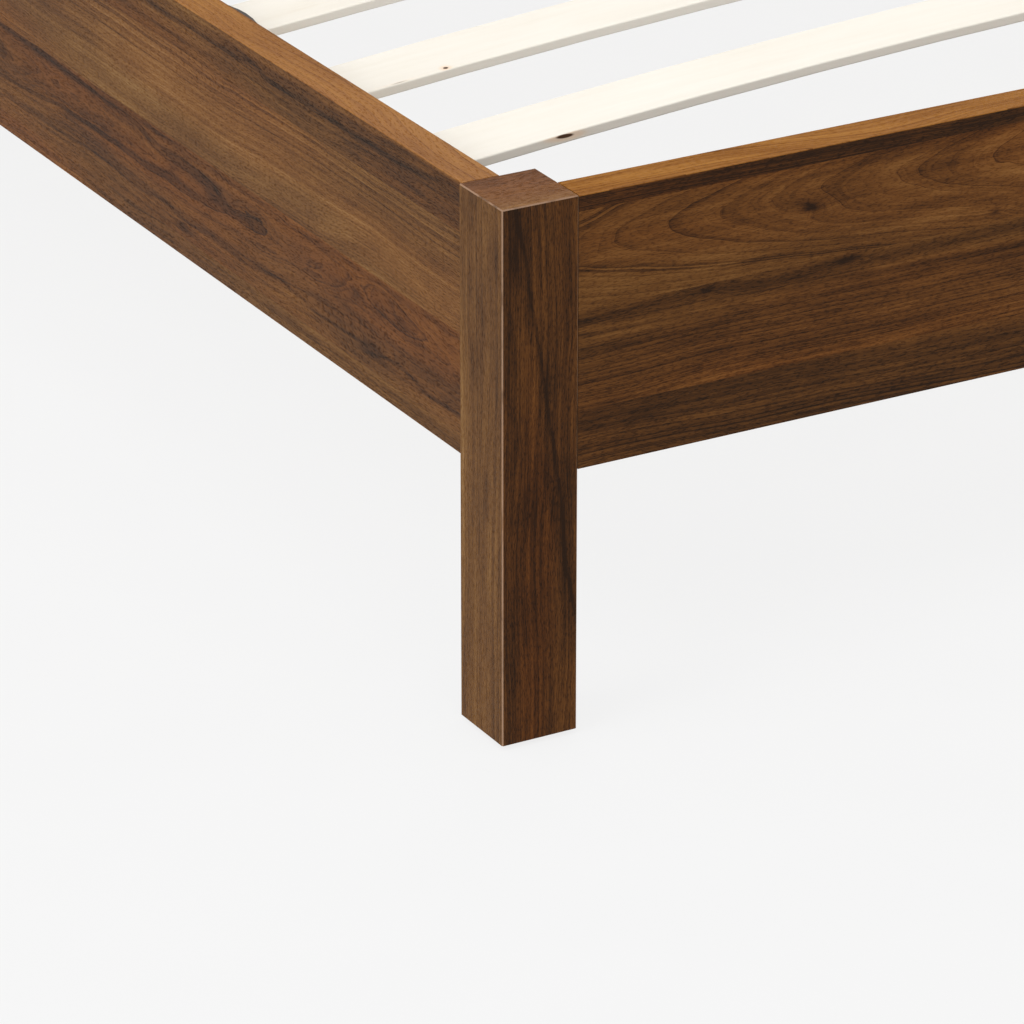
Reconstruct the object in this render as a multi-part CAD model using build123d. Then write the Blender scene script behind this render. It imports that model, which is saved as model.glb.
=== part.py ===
from build123d import *

import os
from math import asin, degrees

# A queen-size wooden bed frame, in millimetres.
# X runs across the bed, Y along it from the foot (-Y) to the headboard (+Y), Z up.
# The origin is on the floor, under the middle of the whole bed. Left is -X, as seen from the foot.

# --- driving dimensions ---------------------------------------------------------------------
BED_WIDTH = 1610.0
BED_LENGTH = 2135.0
BED_HEIGHT = 1042.0

POST_SIDE = 56.0
POST_TOP = 379.0
POST_ARRIS = 0.8
GLIDE_RADIUS = 14.0
GLIDE_THICKNESS = 4.0
GLIDE_STUB_RADIUS = 4.0
GLIDE_STUB_LENGTH = 12.0

RAIL_THICKNESS = 27.0
RAIL_BOTTOM = 190.0
SIDE_RAIL_INSET = 2.5
BAND_THICKNESS = 1.0
BAND_ARRIS = 0.4

PANEL_THICKNESS = 25.0
PANEL_BOTTOM = 190.0
SEAM_ARRIS = 0.6

# connector fitting: a threaded rod that ends in a round recess with a half-moon washer and a nut
RECESS_RADIUS = 21.5
RECESS_DEPTH = 18.5
ROD_DEPTH = 10.5
ROD_RADIUS = 4.0
ROD_HOLE_RADIUS = 4.5
ROD_PAST_RECESS_CENTRE = 0.5
WASHER_RADIUS = 18.5
WASHER_GAP = 0.2
WASHER_CREST = 9.7
WASHER_HEIGHT = 13.0
NUT_ACROSS_FLATS = 13.0
NUT_HEIGHT = 6.5
SEAM_RECESS_OFFSET = 40.0
SEAM_ROW_SPACING = 341.0
RAIL_RECESS_OFFSET = 48.0
RAIL_ROD_HEIGHTS = (230.0, 340.0)
POST_ROD_DEPTH = 22.5
INSERT_RADIUS = 6.0
INSERT_LENGTH = 23.0

DOWEL_RADIUS = 4.0
DOWEL_LENGTH = 40.0
DOWEL_HOLE_SPARE = 1.0
RAIL_DOWEL_HEIGHT = 285.0
SEAM_DOWEL_OFFSET = 170.5

# bolts that hold the headboard to the head posts, and screws that hold it to the head rail
BOLT_LENGTH = 70.0
BOLT_HEAD_RADIUS = 7.0
BOLT_HEAD_HEIGHT = 4.4
BOLT_SOCKET_ACROSS_FLATS = 5.0
BOLT_SOCKET_DEPTH = 2.6
BOLT_WASHER_RADIUS = 9.0
BOLT_WASHER_THICKNESS = 1.6
BOLT_HEIGHTS = (262.0, 308.0)
BOLT_FROM_POST_FACE = 13.0
PANEL_INSERT_LENGTH = 15.0
HEADBOARD_SCREW_PLACES = (-700.0, -450.0, -200.0, 200.0, 450.0, 700.0)
HEADBOARD_SCREW_HEIGHT = 285.0

SCREW_SHANK_RADIUS = 2.0
SCREW_HEAD_RADIUS = 4.0
SCREW_HEAD_HEIGHT = 2.4
SCREW_TIP = 4.0
CROSS_SLOT_WIDTH = 1.0
CROSS_SLOT_LENGTH = 4.6
CROSS_SLOT_DEPTH = 1.5
HEADBOARD_SCREW_LENGTH = 42.0
LEDGE_SCREW_LENGTH = 44.0
HANGER_SCREW_LENGTH = 20.0
LEG_SCREW_LENGTH = 25.0

# sprung slats, their end caps, and the ledges and beam under them
SLAT_COUNT = 13
SLAT_PITCH = 148.0
SLAT_WIDTH = 58.0
SLAT_THICKNESS = 7.0
SLAT_HALF_LENGTH = 770.0
SLAT_END_DROP = 23.5
SLAT_RISE = 37.0
SLAT_ARRIS = 1.2
SLAT_CLEARANCE = 0.2
SLAT_SIDE_CLEARANCE = 0.4
CAP_WIDTH = 64.0
CAP_DEPTH_AT_SIDES = 16.0
CAP_DEPTH_AT_MIDDLE = 22.0
CAP_WALL = 2.0
CAP_BASE = 2.5
CAP_HEIGHT = 14.5
CAP_ARRIS = 0.6
CAP_TO_RAIL_GAP = 0.5
CAP_PEG_RADIUS = 4.0
CAP_PEG_LENGTH = 10.0
CAP_PEG_INSET = 12.0
# the third slat from the foot and its left cap sit inward, within the play that the caps leave
SLIPPED_SLAT = 3
SLIPPED_SLAT_BY = 2.0
SLIPPED_CAP_BY = 4.5

LEDGE_WIDTH = 28.0
LEDGE_HEIGHT = 28.0
LEDGE_END_GAP = 76.0
LEDGE_ARRIS = 2.0
LEDGE_SCREW_GAPS = (0, 2, 4, 6, 8, 10, 11)

BEAM_WIDTH = 32.0
BEAM_HEIGHT = 64.0
BEAM_END_GAP = 2.5
BEAM_ARRIS = 2.0
HANGER_SHEET = 2.0
HANGER_HALF_WIDTH = 40.0
HANGER_POCKET_DEPTH = 32.0
HANGER_POCKET_HEIGHT = 46.0
HANGER_BEAM_GAP = 0.3
HANGER_SCREW_X = 30.0
HANGER_SCREW_RISES = (14.0, 50.0)

# steel centre legs with a screw-in levelling foot
LEG_TUBE = 28.0
LEG_WALL = 1.5
LEG_CORNER = 2.5
LEG_SPACING = 1050.0
LEG_PLATE = 60.0
LEG_PLATE_THICKNESS = 3.0
LEG_SCREW_X = 10.0
LEG_SCREW_Y = 22.0
TUBE_PLUG_FLANGE = 2.5
TUBE_PLUG_LENGTH = 20.0
TUBE_PLUG_GAP = 0.2
FOOT_HEIGHT = 8.7
FOOT_GAP = 0.8
FOOT_BOTTOM_RADIUS = 8.0
FOOT_TOP_RADIUS = 10.5
FOOT_STUD_RADIUS = 5.0
FOOT_STUD_LENGTH = 40.0
FOOT_THREAD_GAP = 0.05

# --- places worked out from the driving dimensions ----------------------------------------------
HALF_WIDTH = BED_WIDTH / 2
FOOT_FACE = -BED_LENGTH / 2
BACK_FACE = BED_LENGTH / 2
PANEL_FRONT = BACK_FACE - PANEL_THICKNESS
POST_INNER = HALF_WIDTH - POST_SIDE
FOOT_POST_BACK = FOOT_FACE + POST_SIDE
HEAD_POST_FRONT = PANEL_FRONT - POST_SIDE
FOOT_RAIL_INNER = FOOT_FACE + RAIL_THICKNESS
HEAD_RAIL_INNER = PANEL_FRONT - RAIL_THICKNESS
SIDE_RAIL_OUTER = HALF_WIDTH - SIDE_RAIL_INSET
SIDE_RAIL_INNER = SIDE_RAIL_OUTER - RAIL_THICKNESS
SLAT_END_TOP = POST_TOP - SLAT_END_DROP
SLAT_CREST = SLAT_END_TOP + SLAT_RISE
LEDGE_TOP = SLAT_END_TOP - SLAT_THICKNESS - CAP_BASE
BEAM_BOTTOM = LEDGE_TOP - BEAM_HEIGHT
SLATS_MIDDLE = (FOOT_RAIL_INNER + HEAD_RAIL_INNER) / 2
SLAT_PLACES = [SLATS_MIDDLE + (i - (SLAT_COUNT - 1) / 2) * SLAT_PITCH for i in range(SLAT_COUNT)]
LEG_PLACES = {"front": SLATS_MIDDLE - LEG_SPACING / 2, "rear": SLATS_MIDDLE + LEG_SPACING / 2}
SEAM_MIDDLE = (PANEL_BOTTOM + BED_HEIGHT) / 2
SEAM_ROWS = [SEAM_MIDDLE + row * SEAM_ROW_SPACING for row in (-1, 0, 1)]
SIDES = {"left": -1, "right": 1}


# --- plain shapes -------------------------------------------------------------------------------
def block(low, high):
    """A box from its lowest to its highest corner."""
    size = [b - a for a, b in zip(low, high)]
    centre = [(a + b) / 2 for a, b in zip(low, high)]
    return Pos(*centre) * Box(*size)


def side_block(side, inner, outer, y, z):
    """A box on the left (-1) or right (1) of the bed, between two distances from its middle."""
    near, far = sorted((side * inner, side * outer))
    return block((near, y[0], z[0]), (far, y[1], z[1]))


def round_bar(start, direction, radius, length):
    """A cylinder that starts at a point and runs along a direction."""
    frame = Plane(origin=start, z_dir=direction)
    return frame * Cylinder(radius, length, align=(Align.CENTER, Align.CENTER, Align.MIN))


def without(body, tools):
    """The body with every tool cut out of it."""
    for tool in tools:
        body = body - tool
    return body


def long_edges(body, axis, least):
    """The edges of a body that run along an axis and are at least that long."""
    return body.edges().filter_by(axis).filter_by(lambda edge: edge.length >= least)


# --- screws ---------------------------------------------------------------------------------------
def screw_blank(start, direction, length):
    """A countersunk screw without its cross slot: head flush with the start point."""
    frame = Plane(origin=start, z_dir=direction)
    outline = Polyline(
        (0, 0),
        (SCREW_HEAD_RADIUS, 0),
        (SCREW_SHANK_RADIUS, SCREW_HEAD_HEIGHT),
        (SCREW_SHANK_RADIUS, length - SCREW_TIP),
        (0, length),
        close=True,
    )
    return frame * revolve(Plane.XZ * make_face(outline), Axis.Z)


def screw(start, direction, length):
    """A countersunk screw with a cross slot in its head."""
    frame = Plane(origin=start, z_dir=direction)
    slots = [
        frame * Box(x, y, 2 * CROSS_SLOT_DEPTH)
        for x, y in (
            (CROSS_SLOT_LENGTH, CROSS_SLOT_WIDTH),
            (CROSS_SLOT_WIDTH, CROSS_SLOT_LENGTH),
        )
    ]
    return without(screw_blank(start, direction, length), slots)


def ledge_screw_lines():
    """(start, direction, length) of the screws that hold the slat ledges to the side rails."""
    height = LEDGE_TOP - LEDGE_HEIGHT / 2
    gaps = [SLAT_PLACES[gap] + SLAT_PITCH / 2 for gap in LEDGE_SCREW_GAPS]
    return {
        side: [
            ((sign * (SIDE_RAIL_INNER - LEDGE_WIDTH), y, height), (sign, 0, 0), LEDGE_SCREW_LENGTH)
            for y in gaps
        ]
        for side, sign in SIDES.items()
    }


def hanger_screw_lines(end):
    """(start, direction, length) of the screws of the beam hanger at the foot (-1) or head (1)."""
    face = (FOOT_RAIL_INNER if end < 0 else HEAD_RAIL_INNER) - end * HANGER_SHEET
    return [
        ((x, face, BEAM_BOTTOM + rise), (0, end, 0), HANGER_SCREW_LENGTH)
        for x in (-HANGER_SCREW_X, HANGER_SCREW_X)
        for rise in HANGER_SCREW_RISES
    ]


def leg_screw_lines(y):
    """(start, direction, length) of the screws that hold one centre leg's plate to the beam."""
    start = BEAM_BOTTOM - LEG_PLATE_THICKNESS
    return [
        ((x, y + offset, start), (0, 0, 1), LEG_SCREW_LENGTH)
        for x in (-LEG_SCREW_X, LEG_SCREW_X)
        for offset in (-LEG_SCREW_Y, LEG_SCREW_Y)
    ]


def headboard_screw_lines():
    """(start, direction, length) of the screws from the head rail into the headboard."""
    return [
        ((x, HEAD_RAIL_INNER, HEADBOARD_SCREW_HEIGHT), (0, 1, 0), HEADBOARD_SCREW_LENGTH)
        for x in HEADBOARD_SCREW_PLACES
    ]


# --- connector fittings -----------------------------------------------------------------------------
def rail_frames():
    """Connector frames by rail. Each frame's origin is on the rod under the middle of its recess,
    X points to the joint and Z out of the recess."""
    frames = {"foot_rail": [], "head_rail": []}
    rod_x = SIDE_RAIL_INNER + ROD_DEPTH
    recess_x = POST_INNER - RAIL_RECESS_OFFSET
    for side, sign in SIDES.items():
        ends = (
            (FOOT_POST_BACK + RAIL_RECESS_OFFSET, (0, -1, 0)),
            (HEAD_POST_FRONT - RAIL_RECESS_OFFSET, (0, 1, 0)),
        )
        frames["side_rail_" + side] = [
            Plane(origin=(sign * rod_x, y, z), x_dir=towards, z_dir=(-sign, 0, 0))
            for y, towards in ends
            for z in RAIL_ROD_HEIGHTS
        ]
        for z in RAIL_ROD_HEIGHTS:
            foot = (sign * recess_x, FOOT_RAIL_INNER - ROD_DEPTH, z)
            head = (sign * recess_x, HEAD_RAIL_INNER + ROD_DEPTH, z)
            frames["foot_rail"].append(Plane(origin=foot, x_dir=(sign, 0, 0), z_dir=(0, 1, 0)))
            frames["head_rail"].append(Plane(origin=head, x_dir=(sign, 0, 0), z_dir=(0, -1, 0)))
    return frames


def seam_frames(side):
    """Connector frames of one headboard panel, from the bottom row up."""
    sign = SIDES[side]
    x, y = sign * SEAM_RECESS_OFFSET, BACK_FACE - ROD_DEPTH
    return [Plane(origin=(x, y, z), x_dir=(-sign, 0, 0), z_dir=(0, 1, 0)) for z in SEAM_ROWS]


def recess_cut(frame, joint):
    """The round recess and the rod's hole from it to the joint."""
    bore = Cylinder(RECESS_RADIUS, RECESS_DEPTH, align=(Align.CENTER, Align.CENTER, Align.MAX))
    hole = Plane.YZ * Cylinder(
        ROD_HOLE_RADIUS, joint, align=(Align.CENTER, Align.CENTER, Align.MIN)
    )
    return frame * (Pos(0, 0, ROD_DEPTH) * bore + hole)


def washer_flat():
    """How far the washer's flat face is from the recess's middle, towards the joint."""
    return RECESS_RADIUS - WASHER_GAP - WASHER_CREST


def half_moon_washer(frame):
    """A half-moon washer: its round back fits the recess and its flat face takes the nut."""
    flat = washer_flat()
    centre = RECESS_RADIUS - WASHER_GAP - WASHER_RADIUS
    disc = Pos(centre, 0, 0) * Cylinder(WASHER_RADIUS, WASHER_HEIGHT)
    beyond = Pos(flat - WASHER_RADIUS, 0, 0) * Box(2 * WASHER_RADIUS, 4 * WASHER_RADIUS, 2 * WASHER_HEIGHT)
    hole = Plane.YZ * Cylinder(ROD_RADIUS, 4 * WASHER_RADIUS)
    return frame * (disc - beyond - hole)


def hex_nut(frame):
    """A nut against the washer's flat face."""
    corner = NUT_ACROSS_FLATS / 2
    outline = RegularPolygon(corner, 6, major_radius=False) - Circle(ROD_RADIUS)
    nut = extrude(Plane.YZ * outline, amount=NUT_HEIGHT)
    return frame * (Pos(washer_flat() - NUT_HEIGHT, 0, 0) * nut)


def connector_washers(frames):
    return [half_moon_washer(frame) for frame in frames]


def connector_nuts(frames):
    return [hex_nut(frame) for frame in frames]


def rail_rods(frames):
    """Threaded rods from each rail's recess into the post."""
    length = RAIL_RECESS_OFFSET - ROD_PAST_RECESS_CENTRE + POST_ROD_DEPTH
    bar = Plane.YZ * Cylinder(ROD_RADIUS, length, align=(Align.CENTER, Align.CENTER, Align.MIN))
    return [frame * (Pos(ROD_PAST_RECESS_CENTRE, 0, 0) * bar) for frame in frames]


def post_insert_hole(frame):
    """The hole in a post for the threaded insert that takes a rail's rod."""
    hole = Plane.YZ * Cylinder(
        INSERT_RADIUS, INSERT_LENGTH, align=(Align.CENTER, Align.CENTER, Align.MIN)
    )
    return frame * (Pos(RAIL_RECESS_OFFSET, 0, 0) * hole)


def post_inserts(frames):
    """Threaded sleeves in the posts, filled by the rods' ends."""
    return [
        post_insert_hole(frame) - rod for frame, rod in zip(frames, rail_rods(frames))
    ]


def seam_rods():
    """Threaded rods across the headboard's seam."""
    half = SEAM_RECESS_OFFSET - ROD_PAST_RECESS_CENTRE
    y = BACK_FACE - ROD_DEPTH
    return [round_bar((-half, y, z), (1, 0, 0), ROD_RADIUS, 2 * half) for z in SEAM_ROWS]


# --- dowels -----------------------------------------------------------------------------------------
def dowel_lines():
    """(middle, direction) of the dowel in each rail joint."""
    side_x = SIDE_RAIL_INNER + RAIL_THICKNESS / 2
    lines = []
    for sign in SIDES.values():
        for y in (FOOT_POST_BACK, HEAD_POST_FRONT):
            lines.append(((sign * side_x, y, RAIL_DOWEL_HEIGHT), (0, 1, 0)))
        for inner, away in ((FOOT_RAIL_INNER, -1), (HEAD_RAIL_INNER, 1)):
            y = inner + away * RAIL_THICKNESS / 2
            lines.append(((sign * POST_INNER, y, RAIL_DOWEL_HEIGHT), (1, 0, 0)))
    return lines


def seam_dowel_lines():
    """(middle, direction) of the dowels in the headboard's seam."""
    y = (PANEL_FRONT + BACK_FACE) / 2
    return [((0, y, SEAM_MIDDLE + step * SEAM_DOWEL_OFFSET), (1, 0, 0)) for step in (-1, 1)]


def dowels(lines, length=DOWEL_LENGTH):
    """Wooden dowels, each centred on its joint."""
    return [Plane(origin=middle, z_dir=along) * Cylinder(DOWEL_RADIUS, length) for middle, along in lines]


def dowel_holes(lines):
    return dowels(lines, DOWEL_LENGTH + 2 * DOWEL_HOLE_SPARE)


# --- headboard bolts ----------------------------------------------------------------------------------
def bolt_places():
    """(x, z) of the bolts from the head posts into the headboard."""
    x = POST_INNER + BOLT_FROM_POST_FACE
    return [(sign * x, z) for sign in SIDES.values() for z in BOLT_HEIGHTS]


def headboard_bolt(x, z):
    """A button-head bolt with a hex socket."""
    seat = HEAD_POST_FRONT - BOLT_WASHER_THICKNESS
    head = round_bar((x, seat, z), (0, -1, 0), BOLT_HEAD_RADIUS, BOLT_HEAD_HEIGHT)
    head = fillet(head.edges().group_by(Axis.Y)[0], BOLT_HEAD_HEIGHT / 2)
    socket_mouth = Plane(origin=(x, seat - BOLT_HEAD_HEIGHT, z), z_dir=(0, 1, 0))
    outline = socket_mouth * RegularPolygon(BOLT_SOCKET_ACROSS_FLATS / 2, 6, major_radius=False)
    shank = round_bar((x, seat, z), (0, 1, 0), ROD_RADIUS, BOLT_LENGTH)
    return head + shank - extrude(outline, amount=BOLT_SOCKET_DEPTH)


def bolt_washer(x, z):
    start = (x, HEAD_POST_FRONT - BOLT_WASHER_THICKNESS, z)
    ring = Circle(BOLT_WASHER_RADIUS) - Circle(ROD_RADIUS)
    return extrude(Plane(origin=start, z_dir=(0, 1, 0)) * ring, amount=BOLT_WASHER_THICKNESS)


def panel_insert_hole(x, z):
    return round_bar((x, PANEL_FRONT, z), (0, 1, 0), INSERT_RADIUS, PANEL_INSERT_LENGTH)


# --- posts and rails ----------------------------------------------------------------------------------
def post(side, end):
    """A corner post at the foot (-1) or head (1), with its holes for inserts, dowels and glide."""
    y = (FOOT_FACE, FOOT_POST_BACK) if end < 0 else (HEAD_POST_FRONT, PANEL_FRONT)
    body = side_block(SIDES[side], POST_INNER, HALF_WIDTH, y, (GLIDE_THICKNESS, POST_TOP))
    body = chamfer(body.edges().filter_by(Axis.Z) + body.edges().group_by(Axis.Z)[-1], POST_ARRIS)
    frames = rail_frames()
    rail = "foot_rail" if end < 0 else "head_rail"
    near = [f for f in frames["side_rail_" + side] if f.x_dir.Y * end > 0]
    near += [f for f in frames[rail] if f.x_dir.X * SIDES[side] > 0]
    cuts = [post_insert_hole(frame) for frame in near]
    cuts += dowel_holes(dowel_lines())
    cuts += [glide_stub(side, end)]
    if end > 0:
        cuts += [
            round_bar((x, HEAD_POST_FRONT, z), (0, 1, 0), ROD_HOLE_RADIUS, POST_SIDE)
            for x, z in bolt_places()
        ]
    return without(body, cuts)


def glide_centre(side, end):
    y = FOOT_FACE + POST_SIDE / 2 if end < 0 else PANEL_FRONT - POST_SIDE / 2
    return SIDES[side] * (HALF_WIDTH - POST_SIDE / 2), y


def glide_stub(side, end):
    x, y = glide_centre(side, end)
    return round_bar((x, y, GLIDE_THICKNESS), (0, 0, 1), GLIDE_STUB_RADIUS, GLIDE_STUB_LENGTH)


def glide(side, end):
    """A plastic glide under a post, with a stub pressed into it."""
    x, y = glide_centre(side, end)
    disc = round_bar((x, y, 0), (0, 0, 1), GLIDE_RADIUS, GLIDE_THICKNESS)
    disc = chamfer(disc.edges().group_by(Axis.Z)[0], 1.0)
    return disc + glide_stub(side, end)


def side_rail(side):
    """A side rail's board, without the band on its top edge."""
    y = (FOOT_POST_BACK, HEAD_POST_FRONT)
    z = (RAIL_BOTTOM, POST_TOP - BAND_THICKNESS)
    board = side_block(SIDES[side], SIDE_RAIL_INNER, SIDE_RAIL_OUTER, y, z)
    cuts = [recess_cut(frame, RAIL_RECESS_OFFSET) for frame in rail_frames()["side_rail_" + side]]
    cuts += dowel_holes(dowel_lines())
    cuts += [screw_blank(*line) for line in ledge_screw_lines()[side]]
    return without(board, cuts)


def cross_rail(end):
    """The foot (-1) or head (1) rail's board, without the band on its top edge."""
    name, inner = ("foot_rail", FOOT_RAIL_INNER) if end < 0 else ("head_rail", HEAD_RAIL_INNER)
    y = sorted((inner, inner + end * RAIL_THICKNESS))
    z = (RAIL_BOTTOM, POST_TOP - BAND_THICKNESS)
    board = block((-POST_INNER, y[0], z[0]), (POST_INNER, y[1], z[1]))
    cuts = [recess_cut(frame, RAIL_RECESS_OFFSET) for frame in rail_frames()[name]]
    cuts += dowel_holes(dowel_lines())
    cuts += [screw_blank(*line) for line in hanger_screw_lines(end)]
    if end > 0:
        cuts += [screw_blank(*line) for line in headboard_screw_lines()]
    return without(board, cuts)


def band_on_top(strip, along):
    """A strip of edge band with its two long upper arrises taken off."""
    edges = long_edges(strip, along, BED_WIDTH / 2).group_by(Axis.Z)[-1]
    return chamfer(edges, BAND_ARRIS)


def side_rail_band(side):
    """The band on a side rail's top edge."""
    y = (FOOT_POST_BACK, HEAD_POST_FRONT)
    z = (POST_TOP - BAND_THICKNESS, POST_TOP)
    return band_on_top(side_block(SIDES[side], SIDE_RAIL_INNER, SIDE_RAIL_OUTER, y, z), Axis.Y)


def cross_rail_band(end):
    """The band on the foot (-1) or head (1) rail's top edge."""
    inner = FOOT_RAIL_INNER if end < 0 else HEAD_RAIL_INNER
    y = sorted((inner, inner + end * RAIL_THICKNESS))
    z = (POST_TOP - BAND_THICKNESS, POST_TOP)
    return band_on_top(block((-POST_INNER, y[0], z[0]), (POST_INNER, y[1], z[1])), Axis.X)


# --- headboard ------------------------------------------------------------------------------------------
def headboard_panel(side):
    """One half of the headboard, with its recesses, rod holes and insert holes, without its bands."""
    z = (PANEL_BOTTOM + BAND_THICKNESS, BED_HEIGHT - BAND_THICKNESS)
    y = (PANEL_FRONT, BACK_FACE)
    board = side_block(SIDES[side], 0, HALF_WIDTH - BAND_THICKNESS, y, z)
    seam_edges = board.edges().filter_by(Axis.Z).filter_by(lambda edge: abs(edge.center().X) < 1)
    board = chamfer(seam_edges, SEAM_ARRIS)
    cuts = [recess_cut(frame, SEAM_RECESS_OFFSET) for frame in seam_frames(side)]
    cuts += dowel_holes(seam_dowel_lines())
    cuts += [panel_insert_hole(x, z) for x, z in bolt_places() if x * SIDES[side] > 0]
    cuts += [screw_blank(*line) for line in headboard_screw_lines() if line[0][0] * SIDES[side] > 0]
    return without(board, cuts)


def headboard_bands(side):
    """The bands on one panel's top, bottom and outer edges."""
    sign, y = SIDES[side], (PANEL_FRONT, BACK_FACE)
    band_inner = HALF_WIDTH - BAND_THICKNESS
    top = side_block(sign, 0, band_inner, y, (BED_HEIGHT - BAND_THICKNESS, BED_HEIGHT))
    bottom = side_block(sign, 0, band_inner, y, (PANEL_BOTTOM, PANEL_BOTTOM + BAND_THICKNESS))
    outer = side_block(sign, band_inner, HALF_WIDTH, y, (PANEL_BOTTOM, BED_HEIGHT))
    return [top, bottom, outer]


# --- slats, caps, ledges and beam ---------------------------------------------------------------------
def bowed_board(section, half_length, shift, y):
    """A board across the bed that follows the slats' bow, with its section drawn round the middle
    of a slat's thickness: section X runs along the bed and section Y up."""
    half_chord, rise = SLAT_HALF_LENGTH, SLAT_RISE
    radius = (half_chord**2 + rise**2) / (2 * rise)
    half_angle = degrees(asin(half_length / radius))
    bow_axis = Axis((0, 0, SLAT_CREST - radius), (0, 1, 0))
    middle = Plane(origin=(0, 0, SLAT_CREST - SLAT_THICKNESS / 2), x_dir=(0, 1, 0), z_dir=(1, 0, 0))
    start = (middle * section).rotate(bow_axis, -half_angle)
    return Pos(shift, y, 0) * revolve(start, bow_axis, 2 * half_angle)


def slat_shift(number):
    return SLIPPED_SLAT_BY if number == SLIPPED_SLAT else 0.0


def cap_shift(number, side):
    return SLIPPED_CAP_BY if number == SLIPPED_SLAT and side == "left" else 0.0


def slat(number):
    """One sprung slat, counted from the foot."""
    section = RectangleRounded(SLAT_WIDTH, SLAT_THICKNESS, SLAT_ARRIS)
    return bowed_board(section, SLAT_HALF_LENGTH, slat_shift(number), SLAT_PLACES[number - 1])


def cap_peg(number, side):
    """The peg under a slat cap, which is pressed into the ledge."""
    x = SIDE_RAIL_INNER - CAP_TO_RAIL_GAP - CAP_PEG_INSET - cap_shift(number, side)
    start = (SIDES[side] * x, SLAT_PLACES[number - 1], LEDGE_TOP)
    return round_bar(start, (0, 0, -1), CAP_PEG_RADIUS, CAP_PEG_LENGTH)


def slat_cap(number, side):
    """A plastic pocket for a slat's end: its upper lip is rounded in plan."""
    sign, y = SIDES[side], SLAT_PLACES[number - 1]
    outer = SIDE_RAIL_INNER - CAP_TO_RAIL_GAP - cap_shift(number, side)
    half = CAP_WIDTH / 2
    at_sides, at_middle = outer - CAP_DEPTH_AT_SIDES, outer - CAP_DEPTH_AT_MIDDLE
    corners = [(sign * at_sides, y + half), (sign * outer, y + half)]
    corners += [(sign * outer, y - half), (sign * at_sides, y - half)]
    lip = ThreePointArc(corners[-1], (sign * at_middle, y), corners[0])
    plan = make_face([Polyline(*corners), lip])
    body = extrude(Plane.XY.offset(LEDGE_TOP) * plan, amount=CAP_HEIGHT)
    body = fillet(body.edges().group_by(Axis.Z)[-1], CAP_ARRIS)
    wall_inner = outer - CAP_WALL
    section = Rectangle(SLAT_WIDTH + 2 * SLAT_SIDE_CLEARANCE, SLAT_THICKNESS + 2 * SLAT_CLEARANCE)
    pocket = bowed_board(section, wall_inner, 0.0, y)
    return body - pocket + cap_peg(number, side)


def slat_numbers():
    return range(1, SLAT_COUNT + 1)


def slat_ledge(side):
    """A softwood strip on a side rail's inner face, which carries the slat caps."""
    y = (FOOT_POST_BACK + LEDGE_END_GAP, HEAD_POST_FRONT - LEDGE_END_GAP)
    z = (LEDGE_TOP - LEDGE_HEIGHT, LEDGE_TOP)
    strip = side_block(SIDES[side], SIDE_RAIL_INNER - LEDGE_WIDTH, SIDE_RAIL_INNER, y, z)
    inner = long_edges(strip, Axis.Y, BED_WIDTH / 2).sort_by(lambda edge: abs(edge.center().X))[:2]
    strip = chamfer(inner, LEDGE_ARRIS)
    cuts = [cap_peg(number, side) for number in slat_numbers()]
    cuts += [screw_blank(*line) for line in ledge_screw_lines()[side]]
    return without(strip, cuts)


def centre_beam():
    """The softwood beam under the middle of the slats."""
    low = (-BEAM_WIDTH / 2, FOOT_RAIL_INNER + BEAM_END_GAP, BEAM_BOTTOM)
    high = (BEAM_WIDTH / 2, HEAD_RAIL_INNER - BEAM_END_GAP, LEDGE_TOP)
    beam = block(low, high)
    beam = chamfer(long_edges(beam, Axis.Y, BED_WIDTH / 2), BEAM_ARRIS)
    cuts = [screw_blank(*line) for y in LEG_PLACES.values() for line in leg_screw_lines(y)]
    return without(beam, cuts)


def beam_hanger(end):
    """A folded steel hanger that holds the beam's end to the foot (-1) or head (1) rail."""
    face = FOOT_RAIL_INNER if end < 0 else HEAD_RAIL_INNER
    inner = BEAM_WIDTH / 2 + HANGER_BEAM_GAP
    outer = inner + HANGER_SHEET
    bottom = BEAM_BOTTOM - HANGER_SHEET
    back_y = sorted((face, face - end * HANGER_SHEET))
    pocket_y = sorted((face, face - end * HANGER_POCKET_DEPTH))
    back = block((-HANGER_HALF_WIDTH, back_y[0], bottom), (HANGER_HALF_WIDTH, back_y[1], LEDGE_TOP))
    shelf = block((-outer, pocket_y[0], bottom), (outer, pocket_y[1], BEAM_BOTTOM))
    cheeks = [
        side_block(sign, inner, outer, pocket_y, (bottom, BEAM_BOTTOM + HANGER_POCKET_HEIGHT))
        for sign in SIDES.values()
    ]
    hanger = back + shelf + cheeks[0] + cheeks[1]
    return without(hanger, [screw_blank(*line) for line in hanger_screw_lines(end)])


# --- centre legs ----------------------------------------------------------------------------------------
def centre_leg(y):
    """A square steel tube with a plate welded on its top, screwed under the beam."""
    plate_bottom = BEAM_BOTTOM - LEG_PLATE_THICKNESS
    tube_bottom = FOOT_HEIGHT + FOOT_GAP + TUBE_PLUG_FLANGE
    hole = LEG_TUBE - 2 * LEG_WALL
    section = RectangleRounded(LEG_TUBE, LEG_TUBE, LEG_CORNER)
    section -= RectangleRounded(hole, hole, LEG_CORNER - LEG_WALL)
    tube = extrude(Plane(origin=(0, y, tube_bottom)) * section, amount=plate_bottom - tube_bottom)
    plate = RectangleRounded(LEG_PLATE, LEG_PLATE, 2 * LEG_CORNER)
    plate = extrude(Plane(origin=(0, y, plate_bottom)) * plate, amount=LEG_PLATE_THICKNESS)
    return without(tube + plate, [screw_blank(*line) for line in leg_screw_lines(y)])


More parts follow.
